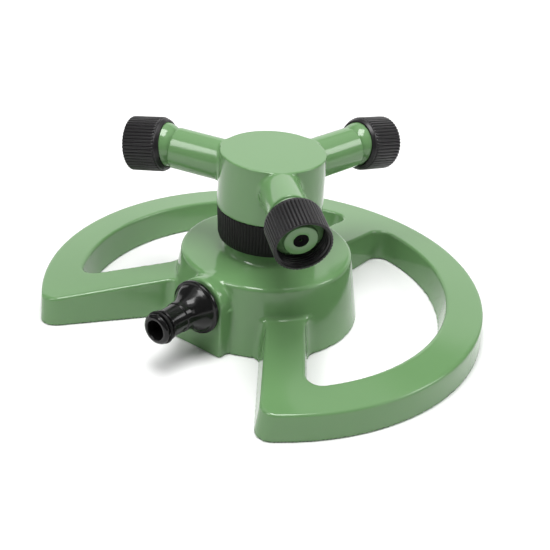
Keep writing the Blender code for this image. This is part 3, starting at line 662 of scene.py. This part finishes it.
def plastic(name, dark, light, rough, grain, bump, shine=0.5):
    """Moulded plastic: faint mottling, a roughness that wanders, and a fine moulded grain."""
    made = bpy.data.materials.new(name)
    made.use_nodes = True
    nodes, links = made.node_tree.nodes, made.node_tree.links
    shader = nodes["Principled BSDF"]
    shader.inputs["IOR"].default_value = PLASTIC_IOR
    shader.inputs["Specular IOR Level"].default_value = shine
    place = nodes.new("ShaderNodeTexCoord")

    def noise(scale, detail):
        made_noise = nodes.new("ShaderNodeTexNoise")
        made_noise.inputs["Scale"].default_value = scale
        made_noise.inputs["Detail"].default_value = detail
        links.new(place.outputs["Object"], made_noise.inputs["Vector"])
        return made_noise.outputs["Fac"]

    tint = nodes.new("ShaderNodeMix")
    tint.data_type = "RGBA"
    tint.inputs["A"].default_value = (*dark, 1.0)
    tint.inputs["B"].default_value = (*light, 1.0)
    links.new(noise(*MOTTLE), tint.inputs["Factor"])
    links.new(tint.outputs["Result"], shader.inputs["Base Color"])
    polish = nodes.new("ShaderNodeMapRange")
    for side, ends in (("From", POLISH_RANGE), ("To", rough)):
        polish.inputs[f"{side} Min"].default_value = ends[0]
        polish.inputs[f"{side} Max"].default_value = ends[1]
    links.new(noise(*POLISH), polish.inputs["Value"])
    links.new(polish.outputs["Result"], shader.inputs["Roughness"])
    dent = nodes.new("ShaderNodeBump")
    dent.inputs["Strength"].default_value = bump
    dent.inputs["Distance"].default_value = GRAIN_DEPTH_M
    links.new(noise(grain, GRAIN_DETAIL), dent.inputs["Height"])
    links.new(dent.outputs["Normal"], shader.inputs["Normal"])
    return made


GREEN = plastic("green_moulding", (0.120, 0.240, 0.098), (0.126, 0.250, 0.103),
                rough=(0.10, 0.15), grain=1400, bump=0.04)
BLACK_GRIP = plastic("black_grip", (0.009, 0.008, 0.009), (0.012, 0.011, 0.012),
                     rough=(0.30, 0.40), grain=1800, bump=0.15, shine=0.35)
# The collar's copy of the black plastic is darker, with a weaker shine: painted shade from the
# head above it.
SHADED_BLACK_COLLAR = plastic("black_collar_painted_shade", (0.006, 0.006, 0.006), (0.009, 0.008, 0.009),
                       rough=(0.40, 0.50), grain=1800, bump=0.15, shine=0.18)
BLACK_GLOSS = plastic("black_tail", (0.005, 0.005, 0.005), (0.008, 0.008, 0.008),
                      rough=(0.12, 0.20), grain=1200, bump=0.10, shine=0.30)
RUBBER = plastic("seal_rubber", (0.005, 0.005, 0.005), (0.008, 0.008, 0.008),
                 rough=(0.50, 0.65), grain=2200, bump=0.30, shine=0.2)
# Near-black matt material of the bush: painted shade inside the jet's hole.
SHADE_BUSH = plastic("jet_bush_rubber", (0.002, 0.002, 0.002), (0.003, 0.003, 0.003),
               rough=(0.60, 0.75), grain=2200, bump=0.20, shine=0.05)
ACETAL = plastic("white_acetal", (0.62, 0.61, 0.57), (0.70, 0.69, 0.65),
                 rough=(0.35, 0.45), grain=1200, bump=0.15)


# ---- the pieces -------------------------------------------------------------------------

def finish(piece, body, nodes, material):
    piece.data.materials.append(material)
    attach(piece, body)
    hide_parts(*nodes)


finish(sculpted("base_moulding", base_field, "base", BASE_MARGIN, BASE_STEP),
       "base", ["base"], GREEN)
finish(sculpted("head_moulding", head_field, "rotor_head", HEAD_MARGIN, HEAD_STEP),
       "rotor", ["rotor_head"], GREEN)
finish(make_plug(), "base", ["riser_plug"], GREEN)
finish(make_connector(), "base", ["hose_connector"], BLACK_GLOSS)
finish(make_o_ring(), "base", ["connector_o_ring"], RUBBER)
finish(make_collar(), "rotor", ["bearing_collar"], SHADED_BLACK_COLLAR)
for arm in ARMS:
    finish(make_ball(arm), "rotor", [f"nozzle_ball_{arm}"], GREEN)
    finish(make_insert(arm), f"nozzle_{arm}", [f"nozzle_insert_{arm}"], GREEN)
    # the bush paints the shade inside the jet's hole
    finish(make_shade_bush(arm), f"nozzle_{arm}", [f"nozzle_insert_{arm}"], SHADE_BUSH)
    finish(make_sleeve(arm), f"sleeve_{arm}", [f"nozzle_sleeve_{arm}"], BLACK_GRIP)

# CAD nodes that stay as they are, inside the object
INNER = {"inlet_washer": RUBBER, "rotor_seal": RUBBER, "spindle": ACETAL,
         "lower_thrust_washer": ACETAL, "upper_thrust_washer": ACETAL}
INNER.update({f"ball_seal_{arm}": RUBBER for arm in ARMS})
for node, material in INNER.items():
    for material_slot in frame["nodes"][node].material_slots:
        material_slot.material = material


# ---- floor, light and camera, in metres -------------------------------------------------

FLOOR_HALF = 4.0
FLOOR_GREY = 0.84
FLOOR_ROUGHNESS = 0.8
FLOOR_SHINE = 0.1
SKY_STRENGTH = 0.09
LIGHTS_AIM = (0.0, 0.0, 0.05)
SOFTBOXES = [                  # name, place, size, watts
    ("key_softbox", (0.05, -0.10, 1.35), (0.55, 0.90), 16.5),
    ("overhead_softbox", (0.0, 0.3, 1.7), (2.4, 2.4), 12.0),
    ("back_panel", (-0.94, 1.29, 0.55), (3.2, 1.1), 12.0),
    ("left_arm_softbox", (-0.28, -0.95, 1.05), (0.34, 0.80), 6.6),
    ("right_arm_softbox", (0.92, 0.74, 0.86), (0.50, 0.50), 5.0),
    ("left_softbox", (-1.0, -0.6, 0.6), (0.4, 0.5), 1.0),
    ("right_softbox", (1.1, 0.25, 0.6), (0.4, 0.5), 1.0),
]
CAMERA_OUT = 0.52961           # level distance from the rotor's axis
CAMERA_UP = 0.32153            # height above the floor
CAMERA_BEARING = math.radians(36.15)   # to the right of the inlet
CAMERA_PITCH = 0.5161          # downwards, in radians, as are the next two
CAMERA_YAW = 0.0106
CAMERA_ROLL = 0.0763
CAMERA_LENS = 72.83


def make_floor():
    mesh = bpy.data.meshes.new("floor")
    half = FLOOR_HALF
    mesh.from_pydata([(-half, -half, 0), (half, -half, 0), (half, half, 0), (-half, half, 0)],
                     [], [(0, 1, 2, 3)])
    floor = bpy.data.objects.new("floor", mesh)
    bpy.context.scene.collection.objects.link(floor)
    white = bpy.data.materials.new("pale_floor")
    white.use_nodes = True
    shader = white.node_tree.nodes["Principled BSDF"]
    shader.inputs["Base Color"].default_value = (FLOOR_GREY, FLOOR_GREY, FLOOR_GREY, 1.0)
    shader.inputs["Roughness"].default_value = FLOOR_ROUGHNESS
    shader.inputs["Specular IOR Level"].default_value = FLOOR_SHINE
    mesh.materials.append(white)


def make_world():
    world = bpy.data.worlds.new("studio")
    world.use_nodes = True
    sky = world.node_tree.nodes["Background"]
    sky.inputs["Color"].default_value = (1.0, 1.0, 1.0, 1.0)
    sky.inputs["Strength"].default_value = SKY_STRENGTH
    bpy.context.scene.world = world


def softbox(name, place, size, watts):
    """Rectangular area light aimed at the object's middle."""
    data = bpy.data.lights.new(name, "AREA")
    data.shape = "RECTANGLE"
    data.size, data.size_y = size
    data.energy = watts
    lamp = bpy.data.objects.new(name, data)
    lamp.location = place
    aim = Vector(LIGHTS_AIM) - Vector(place)
    lamp.rotation_euler = aim.to_track_quat("-Z", "Y").to_euler()
    bpy.context.scene.collection.objects.link(lamp)


def make_camera():
    """The camera that was fitted to the photo, placed in front of the inlet and then turned."""
    yaw, pitch, roll = CAMERA_YAW, CAMERA_PITCH, CAMERA_ROLL
    ahead = Vector((math.sin(yaw) * math.cos(pitch), math.cos(yaw) * math.cos(pitch),
                    -math.sin(pitch)))
    right = Vector((math.cos(yaw), -math.sin(yaw), 0.0))
    up = right.cross(ahead)
    rolled_right = math.cos(roll) * right + math.sin(roll) * up
    rolled_up = math.cos(roll) * up - math.sin(roll) * right
    axes = Matrix((rolled_right, rolled_up, -ahead)).transposed().to_4x4()
    place = Matrix.Translation(Vector((0.0, -CAMERA_OUT, CAMERA_UP)))
    data = bpy.data.cameras.new("camera")
    data.lens = CAMERA_LENS
    camera = bpy.data.objects.new("camera", data)
    camera.matrix_world = Matrix.Rotation(CAMERA_BEARING, 4, "Z") @ place @ axes
    bpy.context.scene.collection.objects.link(camera)
    bpy.context.scene.camera = camera


make_floor()
make_world()
for box in SOFTBOXES:
    softbox(*box)
make_camera()
bpy.context.scene.view_settings.view_transform = "Standard"
